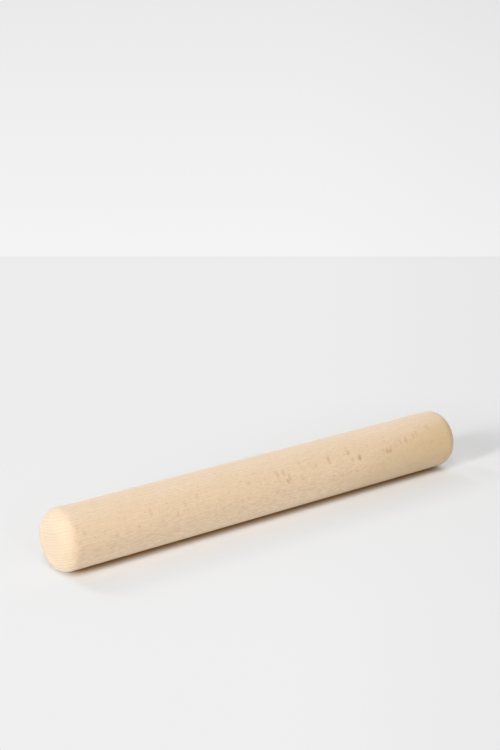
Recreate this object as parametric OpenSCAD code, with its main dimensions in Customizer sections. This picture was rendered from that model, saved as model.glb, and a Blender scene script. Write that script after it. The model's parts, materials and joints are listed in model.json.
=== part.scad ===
// Handle-less rolling pin, turned from one length of beech.
// It lies on the worktop: +X runs along the pin, +Z is up, and the origin is
// the point of the worktop under the middle of the pin. Millimetres.

/* [Pin] */
// Length of the pin from end face to end face
pin_length = 400; // [250:5:600]
// Diameter of the barrel
pin_diameter = 50; // [36:1:70]

/* [Ends] */
// Radius that rounds the barrel over into each end face
end_rounding = 12; // [2:0.5:16]

/* [Hidden] */
$fn = 180;

beech = [0.87, 0.74, 0.58];
pin_radius = pin_diameter / 2;
half_length = pin_length / 2;
// The end face is the flat disc that the rounding leaves.
end_face_radius = pin_radius - end_rounding;
// The barrel is straight up to where the rounding starts.
half_barrel = half_length - end_rounding;

// Half of the pin's lengthwise section, as it would be set out for the lathe:
// x is the distance from the turning axis and y the distance along it.
module turning_profile() {
    translate([0, -half_barrel])
        square([pin_radius, 2 * half_barrel]);
    translate([0, -half_length])
        square([end_face_radius, pin_length]);
    for (side = [-1, 1])
        translate([end_face_radius, side * half_barrel])
            circle(r = end_rounding);
}

// The part of the profile on one side of the turning axis, which is all that a
// revolve may use when the rounding is larger than the end face.
module half_profile() {
    intersection() {
        turning_profile();
        translate([0, -half_length])
            square([pin_radius, pin_length]);
    }
}

module rolling_pin() {
    color(beech)
        translate([0, 0, pin_radius])
            rotate([0, 90, 0])
                rotate_extrude()
                    half_profile();
}

rolling_pin();
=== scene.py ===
# %% [markdown]
# # A turned beech rolling pin
#
# The object is one straight length of beech, turned to a parallel barrel and
# rounded over at both ends. It has no handles and nothing in it moves, so all
# of its character is in two things: the soft light on a true cylinder, and the
# timber. This lesson turns the pin as a lathe would, and then grows the timber
# as a solid, so that the end grain and the long grain belong to one tree.

# %% Load the frame
import json
import math

import bpy
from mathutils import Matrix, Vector

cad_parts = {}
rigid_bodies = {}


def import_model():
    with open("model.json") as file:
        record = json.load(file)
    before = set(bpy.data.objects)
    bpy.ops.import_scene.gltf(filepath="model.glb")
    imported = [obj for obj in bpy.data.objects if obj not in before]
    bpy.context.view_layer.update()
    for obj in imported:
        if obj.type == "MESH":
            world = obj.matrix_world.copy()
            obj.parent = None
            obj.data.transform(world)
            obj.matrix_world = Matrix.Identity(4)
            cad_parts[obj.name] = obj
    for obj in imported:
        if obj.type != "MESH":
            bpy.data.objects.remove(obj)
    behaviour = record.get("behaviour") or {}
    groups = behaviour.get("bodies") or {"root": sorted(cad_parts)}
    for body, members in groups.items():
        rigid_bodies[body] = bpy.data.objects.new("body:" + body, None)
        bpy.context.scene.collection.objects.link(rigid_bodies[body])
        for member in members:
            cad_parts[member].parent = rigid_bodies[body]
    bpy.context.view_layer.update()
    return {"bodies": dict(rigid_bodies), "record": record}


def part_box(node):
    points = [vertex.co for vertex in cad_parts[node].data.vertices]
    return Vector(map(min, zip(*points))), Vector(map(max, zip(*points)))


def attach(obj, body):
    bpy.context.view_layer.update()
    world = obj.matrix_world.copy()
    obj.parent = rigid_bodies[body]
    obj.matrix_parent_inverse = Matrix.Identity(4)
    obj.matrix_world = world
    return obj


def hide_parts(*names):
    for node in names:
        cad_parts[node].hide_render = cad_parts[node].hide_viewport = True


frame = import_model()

# %% [markdown]
# ## Sizes
#
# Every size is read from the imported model, in metres: the pin's length and
# radius from its box, and the rounding of its ends from the length of barrel
# that the record states as a mount. Nothing here has to be kept in step by hand.

# %% Measure the pin
MM = 0.001

pin_low, pin_high = (Vector(corner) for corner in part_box("rolling_pin"))
pin_length = pin_high.x - pin_low.x
pin_radius = (pin_high.z - pin_low.z) / 2
barrel_mount = next(m for m in frame["record"]["mounts"] if m["name"] == "barrel")
barrel_length = barrel_mount["dims"]["length_mm"] * MM
end_rounding = (pin_length - barrel_length) / 2
axis_height = (pin_high.z + pin_low.z) / 2
print(f"pin {pin_length:.3f} m long, radius {pin_radius:.4f} m, ends rounded {end_rounding:.4f} m")

# %% [markdown]
# ## The camera
#
# The photograph was taken from the front left, looking a little down. Its
# camera was found by fitting a cylinder with rounded ends to the outline, so
# its place, heading and lens are plain numbers here.

# %% Place the camera
CAMERA_PLACE = (-0.688, -0.915, 0.479)
CAMERA_HEADING = math.radians(36.41)
CAMERA_PITCH = math.radians(17.41)
CAMERA_LENS = 71.24
CAMERA_SENSOR = 36

camera_data = bpy.data.cameras.new("camera")
camera_data.lens = CAMERA_LENS
camera_data.sensor_width = CAMERA_SENSOR
camera = bpy.data.objects.new("camera", camera_data)
camera.location = CAMERA_PLACE
camera.rotation_euler = (math.pi / 2 - CAMERA_PITCH, 0, -CAMERA_HEADING)
bpy.context.scene.collection.objects.link(camera)
bpy.context.scene.camera = camera
print(f"camera {Vector(CAMERA_PLACE).length:.2f} m from the middle of the pin")

# %% [markdown]
# ## Turning the blank
#
# A cylinder is only the blank: a lathe leaves the ends rounded over in a
# quarter circle that runs into a small flat face. Bevelling the two rims gives
# that quarter circle exactly. The other way would be to spin a profile, but
# the bevel keeps every face a regular quad, which bends light evenly. The end
# faces are filled with rings of faces and the barrel is cut across, so that no
# face is long and thin.

# %% Turn the pin
STEPS_ROUND = 192
STEPS_ALONG = 90
STEPS_ROUNDING = 20
STEPS_END_FACE = 7
ROUND_PROFILE = 0.5
SIDES_OF_A_QUAD = 4


def deselect_everything():
    """An operator acts on all that is selected, and the loaded frame starts out selected."""
    bpy.ops.object.select_all(action="DESELECT")


def select_in_edit_mode(mesh_object, part, wanted):
    """Selects the faces or edges of a mesh for which wanted(part) is true, and stays in edit mode."""
    bpy.ops.object.mode_set(mode="OBJECT")
    mesh = mesh_object.data
    for everything in (mesh.vertices, mesh.edges, mesh.polygons):
        everything.foreach_set("select", [False] * len(everything))
    chosen = mesh.polygons if part == "faces" else mesh.edges
    for item in chosen:
        item.select = wanted(item)
    bpy.context.tool_settings.mesh_select_mode = (False, part == "edges", part == "faces")
    bpy.ops.object.mode_set(mode="EDIT")


def turn_pin():
    deselect_everything()
    bpy.ops.mesh.primitive_cylinder_add(
        vertices=STEPS_ROUND, radius=pin_radius, depth=pin_length,
        end_fill_type="NGON", location=(0, 0, axis_height), rotation=(0, math.pi / 2, 0))
    pin = bpy.context.active_object
    pin.name = "turned_beech_pin"
    bpy.ops.object.transform_apply(location=True, rotation=True, scale=True)
    mesh = pin.data

    def length_along(edge):
        first, second = (mesh.vertices[index].co.x for index in edge.vertices)
        return abs(first - second)

    select_in_edit_mode(pin, "edges", lambda edge: length_along(edge) < MM)
    bpy.ops.mesh.bevel(
        offset=end_rounding, segments=STEPS_ROUNDING, profile=ROUND_PROFILE, affect="EDGES")

    select_in_edit_mode(pin, "faces", lambda face: len(face.vertices) > SIDES_OF_A_QUAD)
    ring_width = (pin_radius - end_rounding) / (STEPS_END_FACE + 1)
    for _ in range(STEPS_END_FACE):
        bpy.ops.mesh.inset(thickness=ring_width, use_even_offset=True)
    bpy.ops.mesh.poke()

    select_in_edit_mode(pin, "edges", lambda edge: length_along(edge) > barrel_length / 2)
    bpy.ops.mesh.subdivide(number_cuts=STEPS_ALONG)
    bpy.ops.object.mode_set(mode="OBJECT")
    bpy.ops.object.shade_smooth()
    print(f"{pin.name}: {len(mesh.vertices)} points, {len(mesh.polygons)} faces")
    return pin


pin = turn_pin()

# %% [markdown]
# ## Writing materials as sums
#
# A material is a graph of nodes, but it reads better as arithmetic. `Number`
# wraps one output of a node, and its operators add Math nodes behind the
# scenes. What a step in a drawing program does with a curve, `between` does
# with a smooth step from 0 to 1.

# %% Numbers that vary over a surface
class Number:
    """A number that varies over a surface, held as one socket of a node tree."""

    def __init__(self, finish, socket):
        self.finish = finish
        self.socket = socket

    def _math(self, operation, first, second=0.0):
        return self.finish.node("ShaderNodeMath", {"operation": operation}, [first, second])

    def __add__(self, other):
        return self._math("ADD", self, other)

    __radd__ = __add__

    def __sub__(self, other):
        return self._math("SUBTRACT", self, other)

    def __rsub__(self, other):
        return self._math("SUBTRACT", other, self)

    def __mul__(self, other):
        return self._math("MULTIPLY", self, other)

    __rmul__ = __mul__

    def __truediv__(self, other):
        return self._math("DIVIDE", self, other)

    def __pow__(self, other):
        return self._math("POWER", self, other)

    def __abs__(self):
        return self._math("ABSOLUTE", self)

    def root(self):
        return self._math("SQRT", self)

    def fraction(self):
        return self._math("FRACT", self)

    def at_least(self, limit):
        return self._math("MAXIMUM", self, limit)

    def angle_from(self, other):
        return self._math("ARCTAN2", self, other)

    def between(self, start, end):
        """0 below start, 1 above end, and a smooth step from one to the other."""
        return self.finish.node(
            "ShaderNodeMapRange", {"interpolation_type": "SMOOTHSTEP"},
            {"Value": self, "From Min": start, "From Max": end})


# %% [markdown]
# `Finish` holds a material and adds every other kind of node. Its `noise` takes
# a place and the size of the lumps in each direction, so one call can say that
# a streak is 2.6 mm wide and 35 mm long. The whole timber below is measured so.

# %% Finishes, and colours as a paint chart gives them
class Finish:
    """A material in the making, with one Principled shader."""

    def __init__(self, name):
        self.material = bpy.data.materials.new(name)
        self.material.use_nodes = True
        self.tree = self.material.node_tree
        self.shader = self.tree.nodes["Principled BSDF"]

    @classmethod
    def for_tree(cls, tree):
        """The same helpers on a tree that has no Principled shader, such as a world's."""
        finish = cls.__new__(cls)
        finish.tree = tree
        return finish

    def node(self, kind, settings, inputs, output=0):
        """Adds a node: its settings first, then the value or link of each socket."""
        made = self.tree.nodes.new(kind)
        for name, value in settings.items():
            setattr(made, name, value)
        pairs = inputs.items() if isinstance(inputs, dict) else enumerate(inputs)
        for key, value in pairs:
            self.feed(made.inputs[key], value)
        return Number(self, made.outputs[output])

    def feed(self, socket, value):
        if isinstance(value, Number):
            self.tree.links.new(value.socket, socket)
        else:
            socket.default_value = value

    def set(self, name, value):
        self.feed(self.shader.inputs[name], value)

    def place(self, unit):
        """The three object coordinates of a point, counted in the given unit."""
        coordinates = self.node("ShaderNodeTexCoord", {}, [], output="Object")
        split = self.node("ShaderNodeSeparateXYZ", {}, [coordinates])
        return [Number(self, axis) / unit for axis in split.socket.node.outputs]

    def camera_ray(self):
        """1 where the camera itself looks, and 0 for light that bounces about."""
        return self.node("ShaderNodeLightPath", {}, [], output="Is Camera Ray")

    def vector(self, x, y, z):
        return self.node("ShaderNodeCombineXYZ", {}, [x, y, z])

    def vector_math(self, operation, first, second=(0.0, 0.0, 0.0), output=0):
        return self.node("ShaderNodeVectorMath", {"operation": operation}, [first, second], output)

    def noise(self, place, lumps, detail=2.0, roughness=0.5):
        """Noise from 0 to 1; lumps holds the size of its lumps along each coordinate of the place."""
        scaled = [number / size for number, size in zip(place, lumps)]
        return self.node(
            "ShaderNodeTexNoise", {},
            {"Vector": self.vector(*scaled), "Scale": 1.0, "Detail": detail,
             "Roughness": roughness})

    def strewn_points(self, field):
        """The nearest point of a Voronoi field, and a chance from 0 to 1 that goes with it."""
        made = self.node(
            "ShaderNodeTexVoronoi", {"feature": "F1", "voronoi_dimensions": "3D"},
            {"Vector": field, "Scale": 1.0, "Randomness": 1.0}).socket.node
        chance = self.node("ShaderNodeSeparateColor", {}, [Number(self, made.outputs["Color"])])
        return Number(self, made.outputs["Position"]), chance

    def mixed(self, share, first, second, blend="MIX"):
        """A colour that goes from first to second as share goes from 0 to 1."""
        made = self.tree.nodes.new("ShaderNodeMix")
        made.data_type = "RGBA"
        made.blend_type = blend
        for key, value in (("Factor_Float", share), ("A_Color", first), ("B_Color", second)):
            self.feed(next(s for s in made.inputs if s.identifier == key), value)
        return Number(self, next(s for s in made.outputs if s.identifier == "Result_Color"))


def colour(red, green, blue):
    """A colour as a paint chart gives it, 0 to 255 in sRGB, made linear for the shader."""
    def linear(channel):
        share = channel / 255
        return share / 12.92 if share <= 0.04045 else ((share + 0.055) / 1.055) ** 2.4
    return (linear(red), linear(green), linear(blue), 1.0)


print("a grey of 128 on the chart is", round(colour(128, 128, 128)[0], 3), "in the shader")

# %% [markdown]
# ## Growing the beech
#
# Beech is told by its rays: thin sheets of cells that run from the pith to the
# bark. Cut across, on the flat-sawn side, they are short brown dashes along
# the grain. Cut along, on the quartered side, they open into broad flecks.
# A flat picture wrapped round the pin would get the ends and the flecks wrong,
# so the timber is a solid: each point of the surface is traced back to its
# place in the tree, and everything else is worked out from there. The pith
# lies above the pin and a little behind it, which turns a quartered side to the
# upper front and the bark side down.

# %% Find each point's place in the tree
PITH_BEARING = math.radians(23)  # from straight up, towards the back
PITH_DISTANCE = 140.0  # from the pith to the pin's axis, in mm
SPIRAL_GRAIN = 0.0006  # radians for each mm along the pin
WANDERING_GRAIN = 0.22  # radians off that spiral
WANDER_LUMPS = (70, 1, 1)  # mm along the tree
WAVY_RINGS = 3.0  # mm off a true circle
WAVE_LUMPS = (120, 45, 45)  # mm along the tree and both ways across it
# A noise of one or two coordinates reads a slice of its own, so that no two are alike.
WANDER_SLICE, RIPPLE_SLICE, GROUP_SLICE = 5.0, 2.0, 9.0


def place_in_tree(wood):
    """Where a point lies in the tree, and how squarely the skin meets the rays there.

    The place goes along the tree, round it and out from its pith, in mm.
    """
    along, y, z = wood.place(MM)
    height = z - axis_height / MM
    # The grain turns a little round the pin from one end to the other.
    wander = wood.noise((along, 0.0, WANDER_SLICE), WANDER_LUMPS) - 0.5
    turn = along * SPIRAL_GRAIN + wander * WANDERING_GRAIN
    turned_y = y - height * turn
    turned_height = height + y * turn
    side = turned_y * math.cos(PITH_BEARING) - turned_height * math.sin(PITH_BEARING)
    towards_pith = turned_y * math.sin(PITH_BEARING) + turned_height * math.cos(PITH_BEARING)
    out = PITH_DISTANCE - towards_pith
    out = out + (wood.noise((along, out, side), WAVE_LUMPS) - 0.5) * WAVY_RINGS
    ring_radius = (out * out + side * side).root()
    arc = side.angle_from(out) * PITH_DISTANCE
    quartered = abs(side) * (MM / pin_radius)
    return along, arc, ring_radius, quartered


print(f"the pith lies {PITH_DISTANCE * math.cos(PITH_BEARING):.0f} mm above the pin's axis",
      f"and {PITH_DISTANCE * math.sin(PITH_BEARING):.0f} mm behind it")

# %% [markdown]
# A growth ring is pale early wood that darkens slowly and ends in a thin late
# line. In beech the step is faint: it is clear on the end grain and hardly
# seen along the barrel. No two years are alike, so the width wanders.

# %% Grow the rings
RING_WIDTH = 2.3  # mm
UNEVEN_YEARS = 1.6  # ring widths that the count of years strays
YEARS_LUMPS = (7, 1, 1)  # mm outwards
RING_RIPPLE = 0.35  # ring widths that one ring strays round the tree
RIPPLE_LUMPS = (40, 7, 1)  # mm along the tree and round it
LATE_WOOD = (0.30, 0.92)  # shares of a year between which the wood darkens
WINTER = (0.94, 1.0)  # shares of a year between which it goes pale again


def growth_ring(wood, along, arc, ring_radius):
    season = ring_radius / RING_WIDTH
    season = season + wood.noise((ring_radius, 0.0, 0.0), YEARS_LUMPS) * UNEVEN_YEARS
    season = season + wood.noise((along, arc, RIPPLE_SLICE), RIPPLE_LUMPS) * RING_RIPPLE
    year = season.fraction()
    return year.between(*LATE_WOOD) * (1 - year.between(*WINTER))


print(f"the pin is about {2 * pin_radius / MM / RING_WIDTH:.0f} years thick")

# %% [markdown]
# A ray is a flat spindle: tall along the tree, long towards the bark and thin
# round it. A Voronoi field strews points through the timber, and each point
# holds one spindle with its own luck, so that most rays are faint and a few
# are strong. The field is warped a little first, which bends the wide flecks
# into crescents, and the edge of each is roughened, since a real fleck is many
# cells and no clean shape.

# %% Grow the rays
# Sizes go round the tree, out from the pith and along it, in mm.
BROAD_RAYS = {
    "cell": (3.0, 11.0, 6.0), "half_size": (0.66, 3.8, 2.1), "warp": 0.9, "rough_edge": 0.9}
SMALL_RAYS = {
    "cell": (0.95, 9.0, 2.9), "half_size": (0.11, 4.0, 0.95), "warp": 0.35, "rough_edge": 0.3}
# Lumps go along the tree, round it and outwards, in mm.
WARP_LUMPS = (4.5, 3, 4)
FRAY_LUMPS = (10 / 9, 5 / 8, 10 / 7)
SMALLEST_RAY, LUCKY_GROWTH = 0.65, 0.6
FAINTEST_RAY = 0.12
RAY_EDGE = (0.3, 1.15)


def rays(wood, along, arc, ring_radius, cell, half_size, warp, rough_edge):
    """How strongly a point lies in a ray."""
    place = (along, arc, ring_radius)
    wander = (wood.noise(place, WARP_LUMPS) - 0.5) * warp
    field = wood.vector((arc + wander) / cell[0], ring_radius / cell[1], along / cell[2])
    point, luck = wood.strewn_points(field)
    offset = wood.vector_math("SUBTRACT", field, point)
    spindle = tuple(half / whole for half, whole in zip(half_size, cell))
    scaled = wood.vector_math("DIVIDE", offset, spindle)
    reach = wood.vector_math("LENGTH", scaled, output="Value")
    fray = wood.noise(place, FRAY_LUMPS) - 0.5
    reach = (reach + fray * rough_edge) / (SMALLEST_RAY + luck * LUCKY_GROWTH)
    strength = FAINTEST_RAY + luck * luck * (1 - FAINTEST_RAY)
    return (1 - reach.between(*RAY_EDGE)) * strength


for ray_name, kind in (("broad", BROAD_RAYS), ("small", SMALL_RAYS)):
    round_tree, outwards, up_tree = (2 * half for half in kind["half_size"])
    print(f"a {ray_name} ray: {round_tree:.2f} mm wide, {outwards:.1f} mm deep, {up_tree:.1f} mm tall")

# %% [markdown]
# Broad flecks open only where the skin runs along the rays, so they form a band
# up the front of the pin. In the photograph they come in loose groups and are
# stronger towards the far end; a few stray ones lie elsewhere.

# %% Open the flecks
QUARTERED_BAND = (0.88, 0.99)
STRAY_FLECK = 0.12
LONE_FLECK, GROUPED_FLECK = 0.32, 0.66
GROUP_LUMPS = (24, 14, 1)  # mm along the tree and round it
GROUP_EDGE = (0.38, 0.62)
NEAR_END_FLECK, FAR_END_FLECK = 0.55, 0.5
FLECKS_GROW = (-130.0, 30.0)  # mm along the pin


def flecks(wood, along, arc, ring_radius, quartered):
    broad_rays = rays(wood, along, arc, ring_radius, **BROAD_RAYS)
    group = wood.noise((along, arc, GROUP_SLICE), GROUP_LUMPS).between(*GROUP_EDGE)
    in_band = quartered.between(*QUARTERED_BAND) * (LONE_FLECK + group * GROUPED_FLECK)
    towards_far_end = NEAR_END_FLECK + along.between(*FLECKS_GROW) * FAR_END_FLECK
    return broad_rays * (STRAY_FLECK + in_band) * towards_far_end


print(f"flecks are at their strongest from {FLECKS_GROW[1]:.0f} mm right of the middle")

# %% [markdown]
# Between the rings and the rays lies the plain grain: vessels that show as
# faint dashes, fibres as fine as hairs, and long streaks. Each is noise whose
# lumps are drawn out along the tree. Broad clouds drift through all of them.

# %% Draw the grain
GRAIN = {
    # lumps in mm, round the tree, outwards and along it
    "dash": {"lumps": (1.3, 1.3, 5.5), "detail": 3.0, "roughness": 0.6},
    "fibre": {"lumps": (2 / 9, 2 / 9, 4.0), "detail": 3.0, "roughness": 0.6},
    "streak": {"lumps": (2.6, 2.6, 35.0), "detail": 1.0},
}
CLOUD_LUMPS = (90, 18, 18)  # mm along the tree, round it and outwards


def grain(wood, along, arc, ring_radius):
    """The dashes, the fibres, the streaks and the clouds."""
    drawn_out = [wood.noise((arc, ring_radius, along), **kind) for kind in GRAIN.values()]
    return (*drawn_out, wood.noise((along, arc, ring_radius), CLOUD_LUMPS))


for grain_name, kind in GRAIN.items():
    wide, _, long = kind["lumps"]
    print(f"a {grain_name}: {wide:.1f} mm wide and {long} mm long")

# %% [markdown]
# The finish is bare sanded wood. Its colour starts from a pale cream that
# drifts between two tones and is more golden at the far end. Two coats are
# painted light and shade rather than timber: the bark side, low on the pin, is
# painted paler as painted light, and a band halfway round a little deeper as
# painted shade. Then each part of the timber lays its own darker tone over what
# is there, like thin coats of stain, each with its own depth. The end grain is
# cut across: its rings are clear, its fibres are hardly seen, and it takes a
# duller polish. The surface keeps a soft gloss, and the ends of fibres left by
# the sanding catch light at a grazing angle, which is what sheen is for.

# %% Make the beech
CREAM, WARM_CREAM = colour(238, 212, 184), colour(235, 209, 178)
COATS = {
    # depth from 0 to 1, and tone
    # painted light: the bark side, low on the pin, is painted paler
    "painted_light_below": (0.9, colour(252, 227, 194)),
    # painted shade: a band halfway round is painted a little deeper
    "painted_shade_halfway": (0.4, colour(229, 199, 162)),
    "golden_end": (0.95, colour(210, 180, 132)),
    "ring": (0.24, colour(222, 191, 156)),
    "streak": (0.12, colour(220, 191, 155)),
    "dash": (0.5, colour(208, 177, 139)),
    "fibre": (0.24, colour(200, 166, 128)),
    "small_ray": (0.55, colour(188, 150, 110)),
    "fleck": (0.95, colour(188, 146, 102)),
}
# Where in its noise each begins to show, and where it shows in full.
DASH_EDGE, FIBRE_EDGE = (0.34, 0.66), (0.45, 0.75)
STREAK_EDGE, CLOUD_EDGE = (0.3, 0.7), (0.2, 0.8)
# Distances in mm, outwards from the ring that runs through the pin's axis.
# The first pair bounds the underside's painted light.
PAINTED_LIGHT_BELOW, FLAT_SAWN_SIDE = (8.0, 26.0), (-6.0, 14.0)
# Where the band of painted shade begins to show, and where it fades again.
PAINTED_SHADE_BEGINS, PAINTED_SHADE_ENDS = (-16.0, -2.0), (8.0, 20.0)
GOLD_ALONG, GOLD_OUTWARDS = 100, 30  # mm for one step towards gold
GOLD_EDGE = (0.7, 2.3)
DASHES_ON_QUARTERED = 0.44
RINGS_CLEARER_ON_END = 1.75
HIDDEN_ON_END = 0.7  # share of the dashes and fibres
END_GRAIN_TINT = (0.86, 0.903, 0.952, 1.0)
BARREL_ROUGHNESS, ROUGHER_FIBRE, SMOOTHER_FLECK, ROUGHER_END = 0.42, 0.12, 0.05, 0.16
GLOSS = {"Specular IOR Level": 0.5, "Sheen Weight": 0.4, "Sheen Roughness": 0.45}
RELIEF = {"Strength": 0.25, "Distance": 0.0001}


def beech():
    wood = Finish("beech")
    along, arc, ring_radius, quartered = place_in_tree(wood)
    outer = ring_radius - PITH_DISTANCE
    ring = growth_ring(wood, along, arc, ring_radius)
    small_rays = rays(wood, along, arc, ring_radius, **SMALL_RAYS)
    fleck = flecks(wood, along, arc, ring_radius, quartered)
    dash, fibre, streak, cloud = grain(wood, along, arc, ring_radius)

    end_grain = (abs(along) - barrel_length / 2 / MM).between(0.0, end_rounding / MM)
    long_grain = 1 - end_grain * HIDDEN_ON_END
    dashes_show = DASHES_ON_QUARTERED + outer.between(*FLAT_SAWN_SIDE) * (1 - DASHES_ON_QUARTERED)
    gold = along / GOLD_ALONG + outer / GOLD_OUTWARDS + (cloud - 0.5)
    amounts = {
        # painted light on the underside
        "painted_light_below": outer.between(*PAINTED_LIGHT_BELOW),
        # painted shade in a band halfway round
        "painted_shade_halfway": outer.between(*PAINTED_SHADE_BEGINS) * (1 - outer.between(*PAINTED_SHADE_ENDS)),
        "golden_end": gold.between(*GOLD_EDGE),
        "ring": ring * (1 + end_grain * RINGS_CLEARER_ON_END),
        "streak": streak.between(*STREAK_EDGE),
        "dash": dash.between(*DASH_EDGE) * dashes_show * long_grain,
        "fibre": fibre.between(*FIBRE_EDGE) * long_grain,
        "small_ray": small_rays,
        "fleck": fleck,
    }
    body = wood.mixed(cloud.between(*CLOUD_EDGE), CREAM, WARM_CREAM)
    for coat, (depth, tone) in COATS.items():
        body = wood.mixed(amounts[coat] * depth, body, tone)
    body = wood.mixed(end_grain, body, END_GRAIN_TINT, blend="MULTIPLY")

    wood.set("Base Color", body)
    roughness = BARREL_ROUGHNESS + fibre * ROUGHER_FIBRE - fleck * SMOOTHER_FLECK
    wood.set("Roughness", roughness + end_grain * ROUGHER_END)
    for name, value in GLOSS.items():
        wood.set(name, value)
    height = (fibre + small_rays) / 2
    wood.set("Normal", wood.node("ShaderNodeBump", {}, {"Height": height, **RELIEF}))
    print(f"beech: {len(COATS)} coats over the cream, {len(wood.tree.nodes)} nodes")
    return wood.material


pin.data.materials.append(beech())
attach(pin, next(iter(frame["bodies"])))
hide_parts("rolling_pin")

# %% [markdown]
# ## The stage
#
# The pin lies on a plain pale sheet. Close to the pin the sheet is an ordinary
# matt surface, so that it takes the pin's shadow and throws light back up at
# it. Further off it turns, for the camera alone, into the even tone of a large
# pale studio, with a faint line where the floor ends and a wall begins, and a
# slight fall of light to the right. All of that is worked out from the place on
# the sheet, so the lights don't have to reach the whole studio.

# %% Give the studio its even tone
NEAR_TONE, FAR_TONE = 0.868, 0.846
TONE_TURNS = 0.3  # m in front of the pin and behind it
WALL_PLACE = 0.945  # m behind the pin, as the camera looks
WALL_TONE = 0.907
WALL_FALL = 0.048
WALL_EDGE = 0.02
LINE_WIDTH, LINE_DEPTH = 0.03, 0.016
FALL_TO_RIGHT = 0.035
RIGHT_OF_VIEW = (0.02, 0.20)  # shares of the distance ahead
IN_VIEW = (0.3, 0.75)  # m ahead of the camera


def along_view(x, y):
    return x * math.sin(CAMERA_HEADING) + y * math.cos(CAMERA_HEADING)


def across_view(x, y):
    return x * math.cos(CAMERA_HEADING) - y * math.sin(CAMERA_HEADING)


def studio_tone(x, y):
    behind = along_view(x, y)
    # Painted fall of light: the floor dims further back, the wall higher up, and both towards the
    # right of the view.
    floor_tone = NEAR_TONE + behind.between(-TONE_TURNS, TONE_TURNS) * (FAR_TONE - NEAR_TONE)
    floor_tone = floor_tone - behind.between(WALL_PLACE - LINE_WIDTH, WALL_PLACE) * LINE_DEPTH
    wall_tone = (behind / WALL_PLACE).at_least(1.0) ** -WALL_FALL * WALL_TONE
    on_wall = behind.between(WALL_PLACE, WALL_PLACE + WALL_EDGE)
    tone = floor_tone + (wall_tone - floor_tone) * on_wall
    ahead = behind - along_view(*CAMERA_PLACE[:2])
    to_right = across_view(x, y) - across_view(*CAMERA_PLACE[:2])
    aside = (to_right / ahead).between(*RIGHT_OF_VIEW) * ahead.between(*IN_VIEW)
    return tone - aside * FALL_TO_RIGHT


print(f"the floor's tone goes from {NEAR_TONE} to {FAR_TONE}, and the wall's is {WALL_TONE}")

# %% [markdown]
# Around the pin the real sheet fades into that tone. In front of the pin and
# beside its ends the two are blended, which keeps the narrow shadow and thins
# out the wide one, as in the photograph.

# %% Keep the real sheet by the pin
SHADOW_REACH, PLAIN_REACH = 0.045, 0.22
END_MARGIN = 0.002
BESIDE_RIGHT_END = 0.03
RIGHT_SHADOW_EDGE = (-0.012, 0.012)
IN_FRONT = (-0.075, -0.032)
BLEND_LEFT, BLEND_RIGHT, BLEND_FRONT = 0.65, 0.5, 0.5


def real_sheet(x, y):
    """How much of the real sheet the camera sees: all of it by the pin and none far off."""
    half_barrel, half_pin = barrel_length / 2, pin_length / 2
    past_end = (abs(x) - half_pin).at_least(0.0)
    distance = (past_end * past_end + y * y).root()
    at_left_end = 1 - x.between(-half_pin, END_MARGIN - half_barrel)
    at_right_end = x.between(half_barrel - END_MARGIN, half_pin)
    at_right_end = at_right_end * (1 - x.between(half_pin, half_pin + BESIDE_RIGHT_END))
    at_right_end = at_right_end * (1 - y.between(*RIGHT_SHADOW_EDGE))
    in_front = 1 - y.between(*IN_FRONT)
    kept = (1 - at_left_end * BLEND_LEFT) * (1 - at_right_end * BLEND_RIGHT)
    kept = kept * (1 - in_front * BLEND_FRONT)
    return kept * (1 - distance.between(SHADOW_REACH, PLAIN_REACH))


print(f"the real sheet fades out between {SHADOW_REACH} and {PLAIN_REACH} m from the pin")

# %% [markdown]
# The sheet itself is matt and nearly white. Where the barrel overhangs it, the
# sheet carries a painted shade: a brown tint that the camera alone sees. It
# stands for light that has met the wood first, and the photograph shows that
# strip warmer than bounced light alone makes it.

# %% Lay the floor
SHEET_TONE = 0.822
SHEET_ROUGHNESS = 0.9
PAINTED_SHADE_TINT = (0.68, 0.40, 0.17)
PAINTED_SHADE_EDGE = (0.006, 0.0185)
PAINTED_SHADE_END = (-0.01, 0.006)
FLOOR_SIZE = 60.0


def pale_sheet():
    sheet = Finish("pale_sheet")
    x, y, _ = sheet.place(1.0)
    seen = sheet.camera_ray()
    # Painted shade: a brown tint on the sheet under the barrel, for the camera alone.
    painted_shade_mask = (1 - abs(y).between(*PAINTED_SHADE_EDGE)) * (
        1 - (abs(x) - barrel_length / 2).between(*PAINTED_SHADE_END))
    plain = (SHEET_TONE, SHEET_TONE, SHEET_TONE, 1.0)
    painted_shade_colour = (*(SHEET_TONE * share for share in PAINTED_SHADE_TINT), 1.0)
    sheet.set("Base Color", sheet.mixed(seen * painted_shade_mask, plain, painted_shade_colour))
    sheet.set("Roughness", SHEET_ROUGHNESS)
    sheet.set("Specular IOR Level", 0.0)

    tone = studio_tone(x, y)
    grey = sheet.node("ShaderNodeCombineColor", {}, [tone, tone, tone])
    glow = sheet.node("ShaderNodeEmission", {}, {"Color": grey, "Strength": 1.0})
    matt = Number(sheet, sheet.shader.outputs[0])
    surface = sheet.node("ShaderNodeMixShader", {}, [(1 - real_sheet(x, y)) * seen, matt, glow])
    sheet.feed(sheet.tree.nodes["Material Output"].inputs["Surface"], surface)
    print(f"pale sheet: {len(sheet.tree.nodes)} nodes")
    return sheet.material


deselect_everything()
bpy.ops.mesh.primitive_plane_add(size=FLOOR_SIZE, location=(0, 0, pin_low.z))
floor = bpy.context.active_object
floor.name = "floor"
floor.data.materials.append(pale_sheet())

# %% [markdown]
# ## Light
#
# The shadows in the photograph say where the light stood. The shadow beyond the
# far end is long and has a firm edge along the pin: a low window at the left,
# almost in line with the pin, which also makes the near end the brightest
# place. The shadow under the front edge is narrow and soft: a broad panel high
# above, a little to the front and left. A small panel behind puts a dull gloss
# on the near rounding. Every level is the brightness that the light gives a
# white card facing it, so that the lights can be compared.

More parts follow.
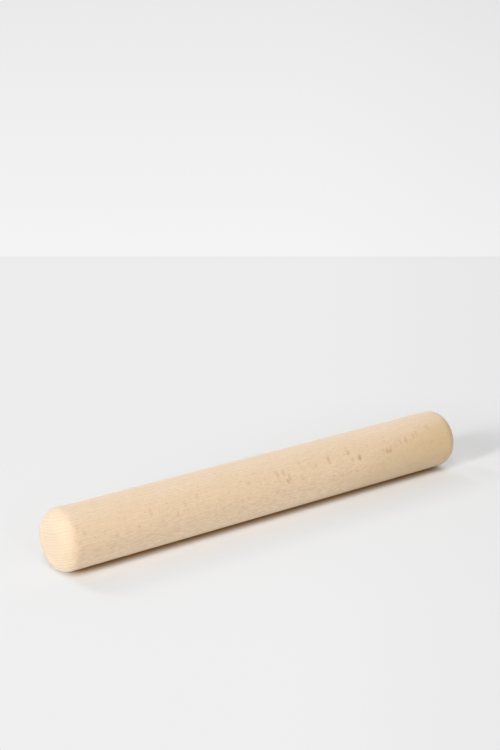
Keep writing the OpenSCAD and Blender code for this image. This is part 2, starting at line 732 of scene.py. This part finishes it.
# %% Hang the panels
PANELS = [
    # name, azimuth, elevation, distance in m, width and height in m, level
    ("left_window", -169, 17, 5.5, (0.8, 2.2), 0.75),
    ("overhead_panel", -138, 63, 4.0, (1.7, 1.7), 0.36),
    ("back_panel", 112, 39, 4.0, (0.7, 0.7), 0.15),
]


def direction(azimuth, elevation):
    """The direction towards a light, from its compass angle and its height, in degrees."""
    a, e = math.radians(azimuth), math.radians(elevation)
    return Vector((math.cos(a) * math.cos(e), math.sin(a) * math.cos(e), math.sin(e)))


def hang_panel(name, azimuth, elevation, distance, size, level):
    data = bpy.data.lights.new(name, "AREA")
    data.shape = "RECTANGLE"
    data.size, data.size_y = size
    # A panel's energy spreads as 1 / (pi^2 distance^2) on a card that faces it.
    data.energy = level * math.pi ** 2 * distance ** 2
    panel = bpy.data.objects.new(name, data)
    towards = direction(azimuth, elevation)
    panel.location = towards * distance
    panel.rotation_mode = "QUATERNION"
    panel.rotation_quaternion = (-towards).to_track_quat("-Z", "Y")
    bpy.context.scene.collection.objects.link(panel)
    print(f"{name}: {data.energy:.0f} W at {distance} m")


for panel_settings in PANELS:
    hang_panel(*panel_settings)

# %% [markdown]
# A pale room fills in from behind, from the right and from low in front, where
# a white sheet or board would stand. The room is dim elsewhere, which is what
# gives the barrel its fall from light to dark. The camera sees it as pale grey.

# %% Light the room
ROOM_SIDES = [
    # direction of its middle, cosine at which it begins, level
    (direction(62, 29), 0.45, 0.60),
    (direction(0, 35), 0.30, 0.29),
    (direction(-100, 8), 0.40, 0.78),
]
SIDE_FULL = 0.95  # cosine at which a side reaches its level
ROOM_LEVEL = 0.03
BACKGROUND_LEVEL = 0.88


def pale_room():
    world = bpy.data.worlds.new("room")
    world.use_nodes = True
    room = Finish.for_tree(world.node_tree)
    view = room.node("ShaderNodeTexCoord", {}, [], output="Generated")
    level = ROOM_LEVEL
    for middle, edge, side_level in ROOM_SIDES:
        facing = room.vector_math("DOT_PRODUCT", view, middle, output="Value")
        level = level + facing.between(edge, SIDE_FULL) * side_level
    seen = room.camera_ray()
    background = world.node_tree.nodes["Background"]
    room.feed(background.inputs["Color"], (1, 1, 1, 1))
    room.feed(background.inputs["Strength"], level * (1 - seen) + seen * BACKGROUND_LEVEL)
    print(f"room: {len(ROOM_SIDES)} bright sides")
    return world


bpy.context.scene.world = pale_room()
bpy.context.scene.view_settings.view_transform = "Standard"
